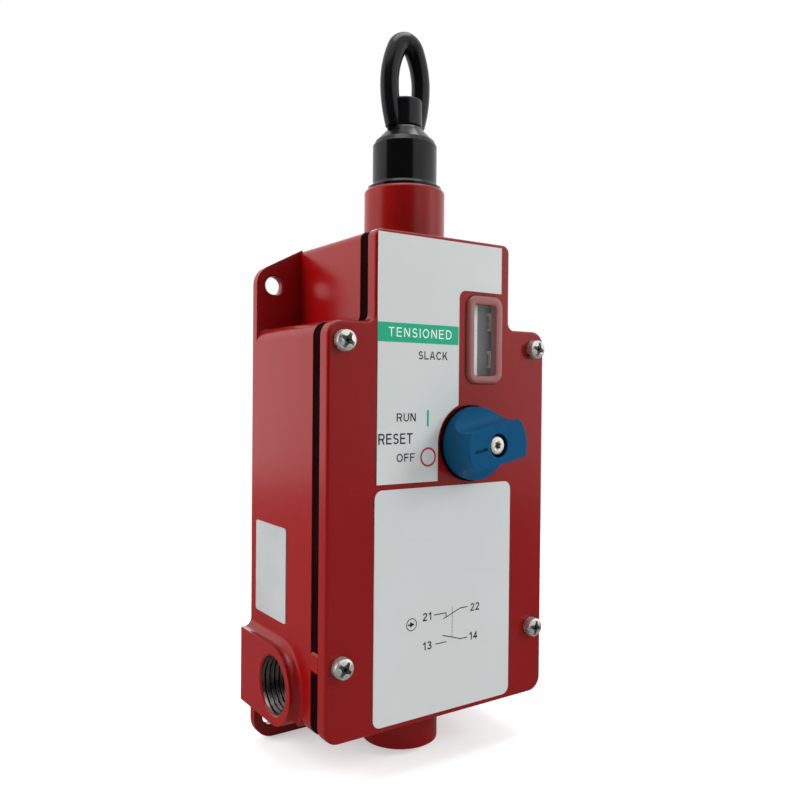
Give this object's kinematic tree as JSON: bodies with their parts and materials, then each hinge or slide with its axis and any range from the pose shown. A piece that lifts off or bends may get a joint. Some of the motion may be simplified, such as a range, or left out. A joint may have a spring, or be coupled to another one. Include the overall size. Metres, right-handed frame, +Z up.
{
  "type": "rope pull switch",
  "caption": "Wall-mounted emergency rope pull switch: red cast case with a spring-loaded pull eye on top, a tension window and a reset knob on the cover, and a side conduit entry.",
  "frame": {"origin": "centre of the four mounting holes, on the flat back face", "axes": "+X to the viewer's right, -Y out of the wall towards the viewer, +Z up along the pull shaft, towards the rope eye"},
  "size_m": [0.1011, 0.0755, 0.2747],
  "materials": {
    "red_enamel": "glossy red powder coat on a die casting",
    "gasket_rubber": "satin black rubber",
    "zinc_steel": "zinc-plated steel",
    "upper_label_film": "pale grey printed film",
    "lower_label_film": "pale grey printed film",
    "side_label_film": "plain white film",
    "window_clear": "clear moulded window",
    "knob_blue": "glossy dark blue moulding",
    "bright_steel": "bright plated steel",
    "turned_steel": "turned steel",
    "cam_brass": "turned brass",
    "spring_steel": "drawn spring steel",
    "boot_rubber": "smooth black rubber",
    "eye_black": "black coated steel",
    "bush_bronze": "sintered bronze",
    "pressed_steel": "pressed and plated steel",
    "indicator_grey": "painted sheet steel",
    "collar_steel": "hardened turned steel",
    "block_moulding": "pale grey moulded insulator",
    "plunger_moulding": "dark moulded plastic",
    "contact_brass": "stamped brass",
    "ground_green_steel": "green coated steel"
  },
  "bodies": {
    "housing_body": {"housing": "red_enamel", "cover": "red_enamel", "cover_gasket": "gasket_rubber", "cover_screws": "zinc_steel", "cover_lock_washers": "zinc_steel", "upper_label": "upper_label_film", "lower_label": "lower_label_film", "side_label": "side_label_film", "window_lens": "window_clear", "spindle_seal": "gasket_rubber", "pull_boot": "boot_rubber", "upper_bush": "bush_bronze", "lower_bush": "bush_bronze", "tension_spring": "spring_steel", "upper_spring_seat": "pressed_steel", "latch_pin": "turned_steel", "latch_spring": "spring_steel", "contact_block": "block_moulding", "contact_block_cover": "block_moulding", "fixed_contacts": "contact_brass", "terminal_screws": "zinc_steel", "terminal_clamps": "zinc_steel", "plunger_spring": "spring_steel", "contact_block_screws": "zinc_steel", "ground_screw": "ground_green_steel", "ground_washer": "zinc_steel"},
    "pull_body": {"rope_eye": "eye_black", "pull_shaft": "turned_steel", "lower_spring_seat": "pressed_steel", "shaft_retaining_ring": "spring_steel", "tension_indicator": "indicator_grey", "trip_collar": "collar_steel", "collar_pin": "turned_steel"},
    "knob_body": {"reset_knob": "knob_blue", "knob_screw": "bright_steel", "knob_spindle": "turned_steel", "reset_cam": "cam_brass", "cam_clip": "spring_steel"},
    "plunger_body": {"contact_plunger": "plunger_moulding", "contact_bridges": "contact_brass"},
    "latch_body": {"latch_lever": "pressed_steel"}
  },
  "joints": [
    {"name": "shaft_pull", "type": "slide", "parent": "housing_body", "child": "pull_body", "axis": [0, 0, 1], "range_m": [0, 0.016], "stiffness_N_per_m": 3000, "springref_m": -0.01, "deforming": ["tension_spring"]},
    {"name": "knob_turn", "type": "hinge", "parent": "housing_body", "child": "knob_body", "pos_m": [0.0115, -0.0595, 0.0246], "axis": [0, 1, 0], "range_deg": [0, 37]},
    {"name": "plunger_slide", "type": "slide", "parent": "housing_body", "child": "plunger_body", "axis": [0, 0, 1], "range_m": [0, 0.0032], "deforming": ["plunger_spring"]},
    {"name": "latch_swing", "type": "hinge", "parent": "housing_body", "child": "latch_body", "pos_m": [-0.02, -0.009, 0.0105], "axis": [0, 0, 1], "range_deg": [-4, 0], "stiffness_Nm_per_rad": 0.05, "springref_deg": 8.59, "deforming": ["latch_spring"]}
  ],
  "couplings": [
    {"joint": "plunger_slide", "follows": "knob_turn", "m_per_rad": 0.0049136}
  ]
}
